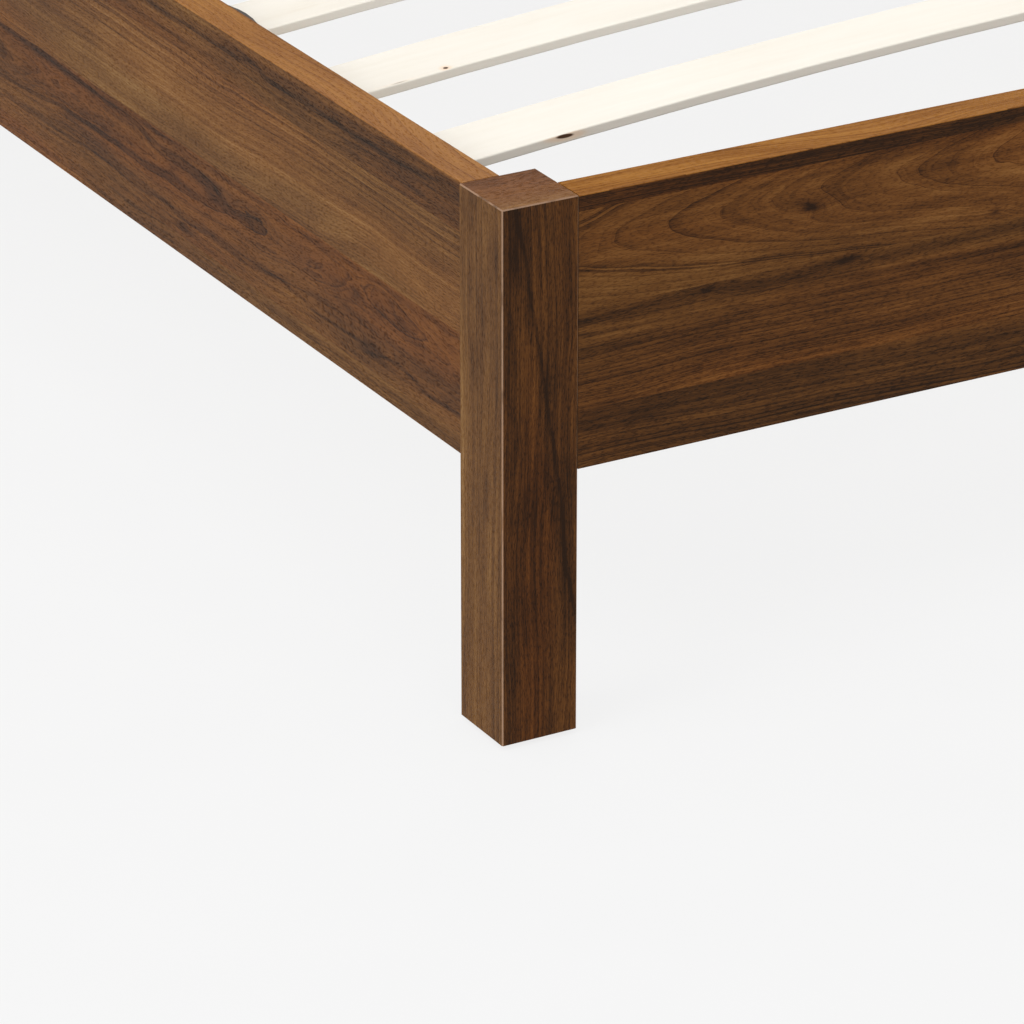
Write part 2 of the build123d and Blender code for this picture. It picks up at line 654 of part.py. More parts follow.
def tube_plug(y):
    """The plastic plug in a leg's lower end, threaded for the levelling foot."""
    bottom = FOOT_HEIGHT + FOOT_GAP
    inside = LEG_TUBE - 2 * LEG_WALL - TUBE_PLUG_GAP
    flange = extrude(
        Plane(origin=(0, y, bottom)) * RectangleRounded(LEG_TUBE, LEG_TUBE, LEG_CORNER),
        amount=TUBE_PLUG_FLANGE,
    )
    flange = chamfer(flange.edges().group_by(Axis.Z)[0], TUBE_PLUG_FLANGE / 2)
    core = extrude(
        Plane(origin=(0, y, bottom + TUBE_PLUG_FLANGE))
        * RectangleRounded(inside, inside, LEG_CORNER - LEG_WALL),
        amount=TUBE_PLUG_LENGTH,
    )
    thread = round_bar((0, y, 0), (0, 0, 1), FOOT_STUD_RADIUS + FOOT_THREAD_GAP, POST_TOP)
    return flange + core - thread


def levelling_foot(y):
    """A tapered plastic foot moulded on a threaded stud."""
    pad = Pos(0, y, FOOT_HEIGHT / 2) * Cone(FOOT_BOTTOM_RADIUS, FOOT_TOP_RADIUS, FOOT_HEIGHT)
    pad = fillet(pad.edges().group_by(Axis.Z)[-1], 1.0)
    return pad + round_bar((0, y, FOOT_HEIGHT), (0, 0, 1), FOOT_STUD_RADIUS, FOOT_STUD_LENGTH)


# --- all nodes ------------------------------------------------------------------------------------------
def nodes():
    """Every node by name: one solid, or a list of solids."""
    frames = [frame for group in rail_frames().values() for frame in group]
    seams = seam_frames("left") + seam_frames("right")
    corners = [(side, end) for side in SIDES for end in (-1, 1)]
    made = {
        "foot_rail": cross_rail(-1),
        "head_rail": cross_rail(1),
        "foot_rail_band": cross_rail_band(-1),
        "head_rail_band": cross_rail_band(1),
        "seam_rods": seam_rods(),
        "seam_washers": connector_washers(seams),
        "seam_nuts": connector_nuts(seams),
        "seam_dowels": dowels(seam_dowel_lines()),
        "rail_rods": rail_rods(frames),
        "rail_washers": connector_washers(frames),
        "rail_nuts": connector_nuts(frames),
        "rail_dowels": dowels(dowel_lines()),
        "post_inserts": post_inserts(frames),
        "post_glides": [glide(side, end) for side, end in corners],
        "headboard_bolts": [headboard_bolt(x, z) for x, z in bolt_places()],
        "headboard_bolt_washers": [bolt_washer(x, z) for x, z in bolt_places()],
        "headboard_screws": [screw(*line) for line in headboard_screw_lines()],
        "centre_beam": centre_beam(),
        "beam_hangers": [beam_hanger(end) for end in (-1, 1)],
        "hanger_screws": [screw(*line) for end in (-1, 1) for line in hanger_screw_lines(end)],
        "leg_screws": [screw(*line) for y in LEG_PLACES.values() for line in leg_screw_lines(y)],
        "leg_tube_plugs": [tube_plug(y) for y in LEG_PLACES.values()],
        "ledge_screws": [screw(*line) for lines in ledge_screw_lines().values() for line in lines],
    }
    made["panel_inserts"] = [
        panel_insert_hole(x, z) - bolt for (x, z), bolt in zip(bolt_places(), made["headboard_bolts"])
    ]
    for side in SIDES:
        made["foot_post_" + side] = post(side, -1)
        made["head_post_" + side] = post(side, 1)
        made["side_rail_" + side] = side_rail(side)
        made["side_rail_band_" + side] = side_rail_band(side)
        made["headboard_panel_" + side] = headboard_panel(side)
        made["headboard_bands_" + side] = headboard_bands(side)
        made["slat_ledge_" + side] = slat_ledge(side)
        made["slat_caps_" + side] = [slat_cap(number, side) for number in slat_numbers()]
    for number in slat_numbers():
        made[f"slat_{number:02d}"] = slat(number)
    for place, y in LEG_PLACES.items():
        made["centre_leg_" + place] = centre_leg(y)
        made["levelling_foot_" + place] = levelling_foot(y)
    return made


def main():
    os.makedirs("parts", exist_ok=True)
    for name, shape in nodes().items():
        solids = shape if isinstance(shape, list) else [shape]
        solids = [solid for item in solids for solid in item.solids()]
        whole = solids[0] if len(solids) == 1 else Compound(children=solids)
        export_step(whole, os.path.join("parts", name + ".step"))


main()
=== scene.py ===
"""Looks of a queen-size wooden bed frame: veneers, solid woods, metals and plastics, the threaded
and welded details, and a pale studio. All lengths are in metres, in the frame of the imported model."""

from math import cos, pi, radians, sin, tan

import bmesh
import bpy
from mathutils import Matrix, Vector


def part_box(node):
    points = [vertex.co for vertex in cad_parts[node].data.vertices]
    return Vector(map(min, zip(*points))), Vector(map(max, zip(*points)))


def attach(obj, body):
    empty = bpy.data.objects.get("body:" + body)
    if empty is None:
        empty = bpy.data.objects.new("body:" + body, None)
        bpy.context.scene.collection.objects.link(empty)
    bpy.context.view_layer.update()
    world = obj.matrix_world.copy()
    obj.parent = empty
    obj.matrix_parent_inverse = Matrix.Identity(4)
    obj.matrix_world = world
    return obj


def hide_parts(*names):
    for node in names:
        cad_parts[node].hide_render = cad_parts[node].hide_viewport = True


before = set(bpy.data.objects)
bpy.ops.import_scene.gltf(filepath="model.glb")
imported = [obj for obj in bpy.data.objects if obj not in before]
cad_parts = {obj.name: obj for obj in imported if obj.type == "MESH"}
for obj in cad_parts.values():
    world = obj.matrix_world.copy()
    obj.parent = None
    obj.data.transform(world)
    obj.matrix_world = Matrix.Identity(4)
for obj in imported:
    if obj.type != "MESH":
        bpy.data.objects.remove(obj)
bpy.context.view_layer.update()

MM = 0.001
BODY = "frame"
SIDES = ("left", "right")


# --- node graphs ----------------------------------------------------------------------------------
# how far a surface faces along an axis, from 0 to 1, where it starts to count as that axis's face and
# from where it fully does; the knots' limits are their own
FACE_LIMITS = (0.72, 0.80)
KNOT_FACE_LIMITS = (0.70, 0.90)
# the same for an arris, by how far it faces along its nearest axis
ARRIS_LIMITS = (0.985, 0.93)


class Value:
    """A number or colour somewhere in a material. Arithmetic on it adds nodes to its graph."""

    def __init__(self, graph, socket):
        self.graph, self.socket = graph, socket

    def __add__(self, other):
        return self.graph.math("ADD", self, other)

    def __sub__(self, other):
        return self.graph.math("SUBTRACT", self, other)

    def __rsub__(self, other):
        return self.graph.math("SUBTRACT", other, self)

    def __mul__(self, other):
        return self.graph.math("MULTIPLY", self, other)

    __radd__, __rmul__ = __add__, __mul__


class Graph:
    """One material's nodes, written as function calls that return values."""

    def __init__(self, name):
        self.material = bpy.data.materials.new(name)
        self.material.use_nodes = True
        self.tree = self.material.node_tree
        self.shader = self.tree.nodes["Principled BSDF"]
        self.x, self.y, self.z = self.split(self.node("ShaderNodeTexCoord", {}, "Object"))

    def node(self, kind, inputs, output=0, **settings):
        """Adds a node, feeds its inputs with values or constants, and gives one of its outputs."""
        made = self.tree.nodes.new(kind)
        for key, value in settings.items():
            setattr(made, key, value)
        for key, value in inputs.items():
            if isinstance(value, Value):
                self.tree.links.new(value.socket, made.inputs[key])
            else:
                made.inputs[key].default_value = value
        return Value(self, made.outputs[output])

    def math(self, operation, *values):
        return self.node("ShaderNodeMath", dict(enumerate(values)), operation=operation)

    def split(self, vector):
        parts = self.node("ShaderNodeSeparateXYZ", {0: vector}).socket.node.outputs
        return [Value(self, part) for part in parts]

    def point(self, x, y, z):
        return self.node("ShaderNodeCombineXYZ", {0: x, 1: y, 2: z})

    def noise(self, at, detail=2.0, roughness=0.5):
        """Soft noise from 0 to 1 with features about one unit apart, at a point or along a number."""
        in_space = isinstance(at, tuple)
        where = {"Vector": self.point(*at)} if in_space else {"W": at}
        inputs = {**where, "Scale": 1.0, "Detail": detail, "Roughness": roughness}
        return self.node("ShaderNodeTexNoise", inputs, noise_dimensions="3D" if in_space else "1D")

    def chance(self, number):
        """Three random numbers for each whole number."""
        colour = self.node("ShaderNodeTexWhiteNoise", {"W": number}, "Color", noise_dimensions="1D")
        return self.split(colour)

    def step(self, value, low, high):
        """0 below low, 1 above high and smooth between them."""
        inputs = {"Value": value, "From Min": low, "From Max": high}
        return self.node("ShaderNodeMapRange", inputs, interpolation_type="SMOOTHSTEP")

    def near(self, value, centre, width):
        """1 where a value is at the centre, falling smoothly to 0 a width away."""
        return self.step(self.math("ABSOLUTE", value - centre), width, 0.0)

    def ramp(self, value, stops, interpolation="LINEAR"):
        """The colour at a value among stops, each a place from 0 to 1 and a colour."""
        made = self.node("ShaderNodeValToRGB", {0: value})
        ramp = made.socket.node.color_ramp
        ramp.interpolation = interpolation
        while len(ramp.elements) < len(stops):
            ramp.elements.new(0.5)
        for element, (place, colour) in zip(ramp.elements, stops):
            element.position = place
            element.color = (*colour, 1.0)
        return made

    def mix(self, factor, first, second, blend="MIX"):
        """The first colour, turned into a blend with the second as the factor goes from 0 to 1."""
        colours = [c if isinstance(c, Value) else (*c, 1.0) for c in (first, second)]
        inputs = {0: factor, 6: colours[0], 7: colours[1]}
        return self.node("ShaderNodeMix", inputs, 2, data_type="RGBA", blend_type=blend)

    def facing(self):
        """How far the surface faces along X, Y and Z, from 0 to 1 each."""
        normal = self.node("ShaderNodeNewGeometry", {}, "True Normal")
        return [self.math("ABSOLUTE", part) for part in self.split(normal)]

    def faces(self, axis, limits=FACE_LIMITS):
        """1 where the surface faces along an axis and 0 elsewhere."""
        return self.step(self.facing()["xyz".index(axis)], *limits)

    def arris(self):
        """1 on chamfered and rounded edges, which face along no axis, and 0 on flat faces."""
        x, y, z = self.facing()
        return self.step(self.math("MAXIMUM", self.math("MAXIMUM", x, y), z), *ARRIS_LIMITS)

    def finish(self, colour, roughness, height=None, depth=0.0, **constants):
        """Connects the shader: colour and roughness, a height map as bump, and constant sockets."""
        self.tree.links.new(colour.socket, self.shader.inputs["Base Color"])
        self.tree.links.new(roughness.socket, self.shader.inputs["Roughness"])
        if height is not None:
            bump = self.node("ShaderNodeBump", {"Strength": 1.0, "Distance": depth, "Height": height})
            self.tree.links.new(bump.socket, self.shader.inputs["Normal"])
        for socket, value in constants.items():
            self.shader.inputs[socket.replace("_", " ")].default_value = value
        return self.material


# --- walnut veneer --------------------------------------------------------------------------------
RAIL_WALNUT = [
    (0.00, (0.019, 0.0083, 0.0035)),
    (0.25, (0.057, 0.0212, 0.0058)),
    (0.50, (0.114, 0.0430, 0.0101)),
    (0.75, (0.180, 0.0775, 0.0205)),
    (1.00, (0.270, 0.1360, 0.0475)),
]
PANEL_WALNUT = [
    (0.00, (0.023, 0.0125, 0.0106)),
    (0.25, (0.058, 0.0285, 0.0190)),
    (0.50, (0.114, 0.0560, 0.0330)),
    (0.75, (0.182, 0.0930, 0.0510)),
    (1.00, (0.270, 0.1520, 0.0860)),
]
PALE_ARRIS = (0.36, 0.225, 0.145)
PALE_SEAM = (0.52, 0.40, 0.33)
FIBREBOARD = [(0.0, (0.26, 0.12, 0.050)), (0.5, (0.46, 0.235, 0.11)), (1.0, (0.60, 0.34, 0.17))]
LEAF_WIDTH = 69.5 * MM
RING_SPREAD = 17.3 * MM
RINGS_PER_METRE = 33.0
# leaf numbers are read from a colour ramp, whose colours go from 0 to 1, in shares of this many
MOST_LEAVES = 16.0
VENEER_EDGE = 0.3 * MM
VENEER_BUMP = 0.12 * MM
VENEER_SHEEN = 0.06
GREY_TINT = (0.92, 1.02, 1.10)
WARM_TINT = (1.10, 0.97, 0.84)


def fibreboard(graph):
    """Colour of the raw core in recesses and at the seam."""
    fibres = graph.noise((graph.x * 900, graph.y * 900, graph.z * 900), 3.0, 0.7)
    clouds = graph.noise((graph.x * 60, graph.y * 60, graph.z * 60))
    return graph.ramp(fibres * 0.7 + clouds * 0.3, FIBREBOARD)


def knot_fields(graph, along, across, knots):
    """The pull of knots on the rings around them, how far they bend the grain, and the dark of their
    hearts. A knot is its place along and across the grain, half length, half width and strength."""
    pull, bend, dark = 0.0, 0.0, 0.0
    for u, v, length, width, strength in knots:
        right, up = (along - u) * (1 / length), (across - v) * (1 / width)
        reach = right * right + up * up
        spread = graph.math("EXPONENT", reach * -0.25) * strength
        pull = spread + pull
        bend = spread * width + bend
        dark = graph.math("EXPONENT", reach * -2.0) * strength + dark
    return pull, bend, dark


def vein_field(graph, along, across, veins, seed):
    """Dark veins that wander along the grain. A vein is its place across the grain where along is
    zero, how far it leans per metre, its half width, how far it wanders and its strength."""
    dark = 0.0
    for number, (place, lean, width, wander, strength) in enumerate(veins):
        bend = graph.noise(along * 7.0 + (seed + 9.0 * number), 2.0) - 0.5
        middle = along * lean + bend * wander + place
        dark = graph.near(across, middle, width) * strength + dark
    return dark


class Leaves:
    """How veneer leaves lie on a board: leaf numbers, the distance from a leaf's middle, what each
    leaf looks like (tone, ring centre and ring slope), and how far veins show on it."""

    def __init__(self, number, inside, looks, shown=1.0):
        self.number, self.inside, self.looks, self.shown = number, inside, looks, shown


def equal_leaves(graph, across, edge, seed):
    """Leaves of equal width side by side, each with a look of its own."""
    leaf = (across - edge) * (1 / LEAF_WIDTH)
    number = graph.math("FLOOR", leaf)
    tone, centre, bend = graph.chance(number + seed)
    bend = bend * 2.0 - 1.0
    looks = (tone * 0.55 + 0.12, centre, bend * bend * bend * 0.7)
    return Leaves(number, (leaf - number - 0.5) * LEAF_WIDTH, looks)


def known_leaves(graph, across, edges, looks):
    """Leaves with known edges and looks, in order. There is one more edge than there are looks. In a
    look the slope goes from 0 to 1, and 0.5 is level."""
    start, span = edges[0], edges[-1] - edges[0]
    shares = [(edge - start) / span for edge in edges]
    middles = [
        (low, ((low + high) / 2, number / MOST_LEAVES, 0.0))
        for number, (low, high) in enumerate(zip(shares, shares[1:]))
    ]
    place = (across - start) * (1 / span)
    tone, centre, slope = graph.split(graph.ramp(place, list(zip(shares, looks)), "CONSTANT"))
    middle, number, _ = graph.split(graph.ramp(place, middles, "CONSTANT"))
    return Leaves(number * MOST_LEAVES, (place - middle) * span, (tone, centre, slope * 2.0 - 1.0))


def post_leaves(graph, across, middle, looks):
    """One leaf on each side of a post and one on top; looks are for the foot and head faces, the
    faces to the left and right, and the top. Veins show on the foot and head faces only."""
    number = graph.faces("x") + graph.faces("z") * 2.0
    spacing = 0.3
    stops = [(spacing * index, look) for index, look in enumerate(looks)]
    place = (number + 1 / 3) * spacing
    tone, centre, slope = graph.split(graph.ramp(place, stops, "CONSTANT"))
    shown = 1.0 - graph.step(number, 0.3, 0.6)
    return Leaves(number, across - middle, (tone, centre, slope * 2.0 - 1.0), shown)


def ring_shade(graph, u, leaves, layer, seed, sway, ripple, pull, calm):
    """How growth rings lighten and darken a leaf: parabolas along it that knots push aside."""
    _, centre, slope = leaves.looks
    off_centre = (leaves.inside - (centre - 0.5) * 0.12 + sway * 0.026) * (1 / RING_SPREAD)
    rings = off_centre * off_centre - u * slope * RINGS_PER_METRE + ripple * 1.5 + pull
    growth = graph.noise(rings * 0.8 + layer, 2.0, 0.6)
    phase = rings * 0.75 + growth * 2.2
    ring = graph.math("FLOOR", phase)
    late_wood = graph.math("POWER", phase - ring, 7.0) * (graph.chance(ring + seed)[0] * 0.8 + 0.2)
    fine_rings = graph.math("POWER", graph.math("FRACT", rings * 2.7 + growth * 6.0 + ripple * 2.0), 3.0)
    light = (growth - 0.5) * 0.40
    return light - late_wood * (0.42 - 0.21 * calm) - fine_rings * (0.10 + 0.12 * calm)


def walnut(
    graph, grain, leaves, seed, colours=RAIL_WALNUT,
    knots=(), veins=(), calm=0.0, arris=PALE_ARRIS, cut=None,
):
    """Walnut veneer. grain gives the coordinates along the grain, across it and through the board.
    calm, from 0 to 1, swaps fine straight streaks for soft patches and a wavy flow. cut gives the
    place through the board and its two faces where the raw core shows between them."""
    u, v, through = grain
    layer = leaves.number * 3.7 + seed
    sway = graph.noise((u * 2.6, v * 8.0, through * 8.0 + layer), 2.0) - 0.5
    ripple = graph.noise((u * 12.0, v * 32.0, through * 32.0 + layer), 3.0) - 0.5
    patches = graph.noise((u * 3.4, v * 11.0, through * 11.0 + layer), 3.0, 0.55)
    pull, bend, knot_dark = knot_fields(graph, u, v, knots)
    rings = ring_shade(graph, u, leaves, layer, seed, sway, ripple, pull, calm)

    # streaks, threads and pores that run along the grain
    straight = v + sway * (0.024 + 0.050 * calm) + ripple * (0.004 + 0.010 * calm) + bend * 1.3
    streaks = graph.noise((u * 2.6, straight * 105.0, through * 105.0 + layer), 4.0, 0.6)
    threads = graph.noise((u * 16.0, straight * 420.0, through * 420.0 + layer), 3.0, 0.6)
    clouds = graph.noise((u * 6.0, straight * 24.0, through * 24.0 + layer), 3.0, 0.55)
    mottle = graph.noise((u * 70.0, straight * 160.0, through * 160.0 + layer), 3.0, 0.6)
    pores = graph.noise((u * 250.0, straight * 1200.0, through * 1200.0 + layer), 1.0)
    pores = graph.step(pores, 0.47, 0.68)
    dark = knot_dark * 0.55 + vein_field(graph, u, v + ripple * 0.004, veins, seed) * leaves.shown

    # shade and colour
    shade = leaves.looks[0] * 0.55 + rings + (patches - 0.5) * (0.75 * calm)
    shade = shade + (streaks - 0.5) * (0.62 - 0.30 * calm) + (threads - 0.5) * (0.36 - 0.10 * calm)
    shade = shade + (clouds - 0.5) * 0.55 + (mottle - 0.5) * 0.26
    shade = shade - pores * 0.18 - dark + 0.33 + 0.03 * calm
    colour = graph.ramp(shade, colours)
    hue = graph.noise((u * 1.8, v * 12.0, layer), 2.0)
    tint = 0.6 + 0.4 * calm
    colour = graph.mix(graph.step(hue, 0.50, 0.64) * tint, colour, GREY_TINT, "MULTIPLY")
    colour = graph.mix(graph.step(hue, 0.50, 0.36) * tint, colour, WARM_TINT, "MULTIPLY")

    # edges worn pale, and the raw core where it is cut into
    worn = graph.arris() * graph.step(graph.noise((u * 45.0, v * 45.0, through * 45.0), 2.0), 0.20, 0.50)
    colour = graph.mix(worn * 0.7, colour, arris)
    if cut:
        depth, low, high = cut
        above = graph.step(depth, low + VENEER_EDGE, low + 2 * VENEER_EDGE)
        below = graph.step(depth, high - VENEER_EDGE, high - 2 * VENEER_EDGE)
        colour = graph.mix(above * below, colour, fibreboard(graph))
    height = threads * 0.5 + streaks * 0.3 - pores
    roughness = 0.42 + pores * 0.18 + (clouds - 0.5) * 0.16 + worn * 0.15
    return graph.finish(colour, roughness, height, VENEER_BUMP, Specular_IOR_Level=VENEER_SHEEN)


def paint(material, *nodes):
    """Gives a material to the material slots of CAD nodes."""
    for node in nodes:
        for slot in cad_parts[node].material_slots:
            slot.material = material


def foot_rail_veneer():
    """The foot rail's four leaves: dark, streaky, figured and dark, from the bottom up."""
    graph = Graph("walnut_foot_rail")
    left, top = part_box("foot_rail")[0].x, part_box("foot_rail_band")[1].z
    edges = [top - drop * MM for drop in (218.6, 149.3, 80.0, 11.7, -57.8)]
    looks = [(0.00, 1.00, 0.52), (0.17, 0.92, 0.50), (0.38, 0.61, 1.0), (0.00, 0.95, 0.51)]
    knots = [
        (left + 173 * MM, top - 41 * MM, 9 * MM, 3.5 * MM, 0.9),
        (left + 203 * MM, top - 83.5 * MM, 15 * MM, 3 * MM, 0.8),
        (left + 95 * MM, top - 84 * MM, 8 * MM, 2 * MM, 0.5),
        (left + 318 * MM, top - 72 * MM, 7 * MM, 3 * MM, 0.6),
    ]
    lean = -0.030
    veins = [
        (top - 89 * MM - lean * left, lean, 5 * MM, 5 * MM, 0.16),
        (top - 96 * MM - lean * left, lean, 3 * MM, 8 * MM, 0.12),
        (top - 6 * MM, 0.0, 7 * MM, 3 * MM, 0.15),
    ]
    leaves = known_leaves(graph, graph.z, edges, looks)
    return walnut(graph, (graph.x, graph.z, graph.y), leaves, -5.4, knots=knots, veins=veins)


def side_rail_veneer():
    """The left side rail's leaves: red-brown below, a tan streaky one, and a grey-dark one on top."""
    graph = Graph("walnut_side_rail_left")
    front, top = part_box("side_rail_left")[0].y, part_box("side_rail_band_left")[1].z
    edges = [top - drop * MM for drop in (245.0, 175.0, 105.0, 35.0, -35.0)]
    looks = [(0.44, 0.95, 0.5), (0.36, 0.62, 0.56), (0.58, 0.97, 0.51), (0.34, 0.80, 0.53)]
    knots = [
        (front + 145 * MM, top - 127 * MM, 12 * MM, 6 * MM, 0.45),
        (front + 122 * MM, top - 158 * MM, 22 * MM, 9 * MM, 0.40),
        (front + 403 * MM, top - 166 * MM, 18 * MM, 5 * MM, 0.45),
        (front + 590 * MM, top - 143 * MM, 26 * MM, 6 * MM, 0.25),
    ]
    veins = [
        (top - 13 * MM, 0.0, 4 * MM, 26 * MM, 0.20),
        (top - 25 * MM, 0.0, 3 * MM, 20 * MM, 0.12),
        (top - 109 * MM, 0.0, 4 * MM, 10 * MM, 0.14),
        (top - 160 * MM, 0.0, 3 * MM, 24 * MM, 0.16),
    ]
    leaves = known_leaves(graph, graph.z, edges, looks)
    return walnut(graph, (graph.y, graph.z, graph.x), leaves, -2.4, knots=knots, veins=veins, calm=0.6)


def plain_rail_veneer(node, edge, seed):
    """A rail with leaves of equal width; edge is the height of the joint between two of them."""
    graph = Graph("walnut_" + node)
    leaves = equal_leaves(graph, graph.z, edge, seed)
    x, y, z = graph.x, graph.y, graph.z
    grain = (y, z, x) if node.startswith("side") else (x, z, y)
    return walnut(graph, grain, leaves, seed)


# the looks of each post's leaves: the foot and head faces, the faces to the left and right, the top
POST_LOOKS = {
    "foot_post_left": [(0.00, 0.90, 0.5), (0.50, 0.85, 0.5), (0.39, 0.70, 0.52)],
    "foot_post_right": [(0.22, 0.10, 0.5), (0.30, 0.92, 0.5), (0.45, 0.20, 0.5)],
    "head_post_left": [(0.42, 0.75, 0.5), (0.36, 0.15, 0.5), (0.40, 0.85, 0.5)],
    "head_post_right": [(0.38, 0.25, 0.5), (0.42, 0.80, 0.5), (0.35, 0.90, 0.5)],
}


def post_veneer(node, seed):
    """A post: its grain runs up all four sides and from left to right over the top."""
    graph = Graph("walnut_" + node)
    low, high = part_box(node)
    top = graph.faces("z")
    side = 1.0 - top
    grain = (graph.z * side + graph.x * top, graph.y + graph.x * side, (graph.x - graph.y) * side)
    leaves = post_leaves(graph, grain[1], low.x + low.y + (high.x - low.x) / 2, POST_LOOKS[node])
    knots, veins = [], []
    if node == "foot_post_left":
        edge, lean = low.x + low.y, -0.14
        start = edge + 13 * MM - lean * high.z
        veins = [(start, lean, 2.6 * MM, 16 * MM, 0.18), (start - 2 * MM, lean, 9 * MM, 16 * MM, 0.12)]
        knots = [
            (high.z - 34 * MM, edge + 9 * MM, 22 * MM, 6 * MM, 0.35),
            (high.z - 118 * MM, edge + 38 * MM, 34 * MM, 9 * MM, 0.30),
            (high.z - 205 * MM, edge + 20 * MM, 30 * MM, 8 * MM, 0.30),
        ]
    colours = PANEL_WALNUT if node.startswith("head") else RAIL_WALNUT
    return walnut(graph, grain, leaves, seed, colours, knots, veins, calm=0.8)


# each headboard panel's leaf edges in millimetres from the seam, the looks of its leaves from the seam
# outwards, and its knots: place from the seam, drop from the top, half length, half width, strength
PANEL_EDGES = {
    "left": (0, 80, 150, 217, 303, 373, 453, 520, 587, 665, 740, 810),
    "right": (0, 83, 155, 222, 305, 373, 457, 525, 590, 660, 745, 810),
}
PANEL_LOOKS = {
    "left": [
        (0.58, 0.85, 0.50), (0.44, 0.20, 0.52), (0.72, 0.95, 0.50), (0.24, 0.10, 0.50),
        (0.54, 0.80, 0.49), (0.70, 0.05, 0.50), (0.90, 0.55, 0.62), (0.80, 0.35, 0.50),
        (0.46, 0.75, 0.51), (0.62, 0.45, 0.57), (0.62, 0.90, 0.50),
    ],
    "right": [
        (0.56, 0.10, 0.50), (0.42, 0.85, 0.50), (0.74, 0.95, 0.50), (0.20, 0.30, 0.50),
        (0.44, 0.65, 0.45), (0.62, 0.90, 0.50), (0.78, 0.50, 0.60), (0.66, 0.90, 0.50),
        (0.28, 0.15, 0.52), (0.54, 0.60, 0.54), (0.42, 0.40, 0.48),
    ],
}
PANEL_KNOTS = {
    "left": [
        (556, 425, 17, 12, 0.55), (655, 385, 60, 22, 0.45), (628, 580, 26, 14, 0.30),
        (105, 125, 24, 12, 0.30), (340, 630, 24, 14, 0.25),
    ],
    "right": [
        (476, 270, 18, 8, 0.45), (762, 545, 18, 12, 0.50), (570, 525, 24, 14, 0.35),
        (522, 395, 26, 14, 0.25), (640, 740, 34, 20, 0.35),
    ],
}


def panel_veneer(node, side, seed):
    """One headboard panel: upright leaves of many widths, with soft patches and a few small knots."""
    graph = Graph("walnut_" + node)
    low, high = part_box(node)
    outward = -1.0 if side == "left" else 1.0
    edges = [edge * MM for edge in PANEL_EDGES[side]]
    leaves = known_leaves(graph, graph.x * outward, edges, PANEL_LOOKS[side])
    knots = [
        (high.z - drop * MM, outward * place * MM, length * MM, width * MM, strength)
        for place, drop, length, width, strength in PANEL_KNOTS[side]
    ]
    grain = (graph.z, graph.x, graph.y)
    cut = (graph.y, low.y, high.y)
    return walnut(graph, grain, leaves, seed, PANEL_WALNUT, knots, calm=1.0, arris=PALE_SEAM, cut=cut)


def paint_walnut():
    """Veneer on the rails, posts and headboard, each with its own figure."""
    paint(foot_rail_veneer(), "foot_rail")
    paint(side_rail_veneer(), "side_rail_left")
    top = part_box("foot_rail_band")[1].z
    paint(plain_rail_veneer("side_rail_right", top - 64 * MM, 11.0), "side_rail_right")
    paint(plain_rail_veneer("head_rail", top - 50 * MM, 14.0), "head_rail")
    for number, node in enumerate(POST_LOOKS):
        paint(post_veneer(node, 20.0 + 3 * number), node)
    for number, side in enumerate(SIDES):
        node = "headboard_panel_" + side
        paint(panel_veneer(node, side, 31.0 + 4 * number), node)


# --- edge bands -----------------------------------------------------------------------------------
ORANGE_BAND = [
    (0.0, (0.068, 0.023, 0.004)),
    (0.3, (0.148, 0.052, 0.009)),
    (0.5, (0.232, 0.091, 0.018)),
    (0.7, (0.308, 0.134, 0.028)),
    (1.0, (0.400, 0.196, 0.052)),
]
BROWN_BAND = [(0.0, (0.04, 0.018, 0.009)), (0.5, (0.11, 0.052, 0.024)), (1.0, (0.22, 0.115, 0.056))]


def edge_band(name, along, across, colours, seed, paleness=0.15, sheen=VENEER_SHEEN):
    """A thin wooden band with wavy darker lines along it and more or less pale arrises."""
    graph = Graph(name)
    axes = {"x": graph.x, "y": graph.y, "z": graph.z}
    u, v = axes[along], axes[across]
    sway = graph.noise((u * 5.0, v * 12.0, seed), 1.0) - 0.5
    wavy = v + sway * 0.055 + u * 0.010
    lines = graph.noise((u * 5.0, wavy * 230.0, seed + 3.0), 3.0, 0.65)
    clouds = graph.noise((u * 9.0, wavy * 50.0, seed + 9.0), 3.0)
    phase = wavy * 230.0 + clouds * 3.0
    ring = graph.math("FLOOR", phase)
    late_wood = graph.math("POWER", phase - ring, 4.0) * (graph.chance(ring + seed)[0] * 0.8 + 0.2)
    pores = graph.step(graph.noise((u * 200.0, wavy * 1300.0, seed), 1.0), 0.50, 0.66)
    shade = lines * 0.50 + clouds * 0.60 - late_wood * 0.34 - pores * 0.12 + 0.03
    colour = graph.ramp(shade, colours)
    worn = graph.arris()
    colour = graph.mix(worn * paleness, colour, PALE_ARRIS)
    roughness = 0.42 + pores * 0.2 + worn * 0.1
    return graph.finish(colour, roughness, lines * 0.4 - pores, 0.1 * MM, Specular_IOR_Level=sheen)


def paint_bands():
    """Orange-brown bands on the rails' tops and browner ones on the headboard's edges."""
    for number, side in enumerate(SIDES):
        band = edge_band("band_side_" + side, "y", "x", ORANGE_BAND, 3.0 + number)
        paint(band, "side_rail_band_" + side)
        band = edge_band("band_headboard_" + side, "x", "y", BROWN_BAND, 21.0 + number, paleness=0.55)
        paint(band, "headboard_bands_" + side)
    for number, end in enumerate(("foot", "head")):
        band = edge_band("band_" + end, "x", "y", ORANGE_BAND, 11.0 + number, sheen=0.01)
        paint(band, end + "_rail_band")


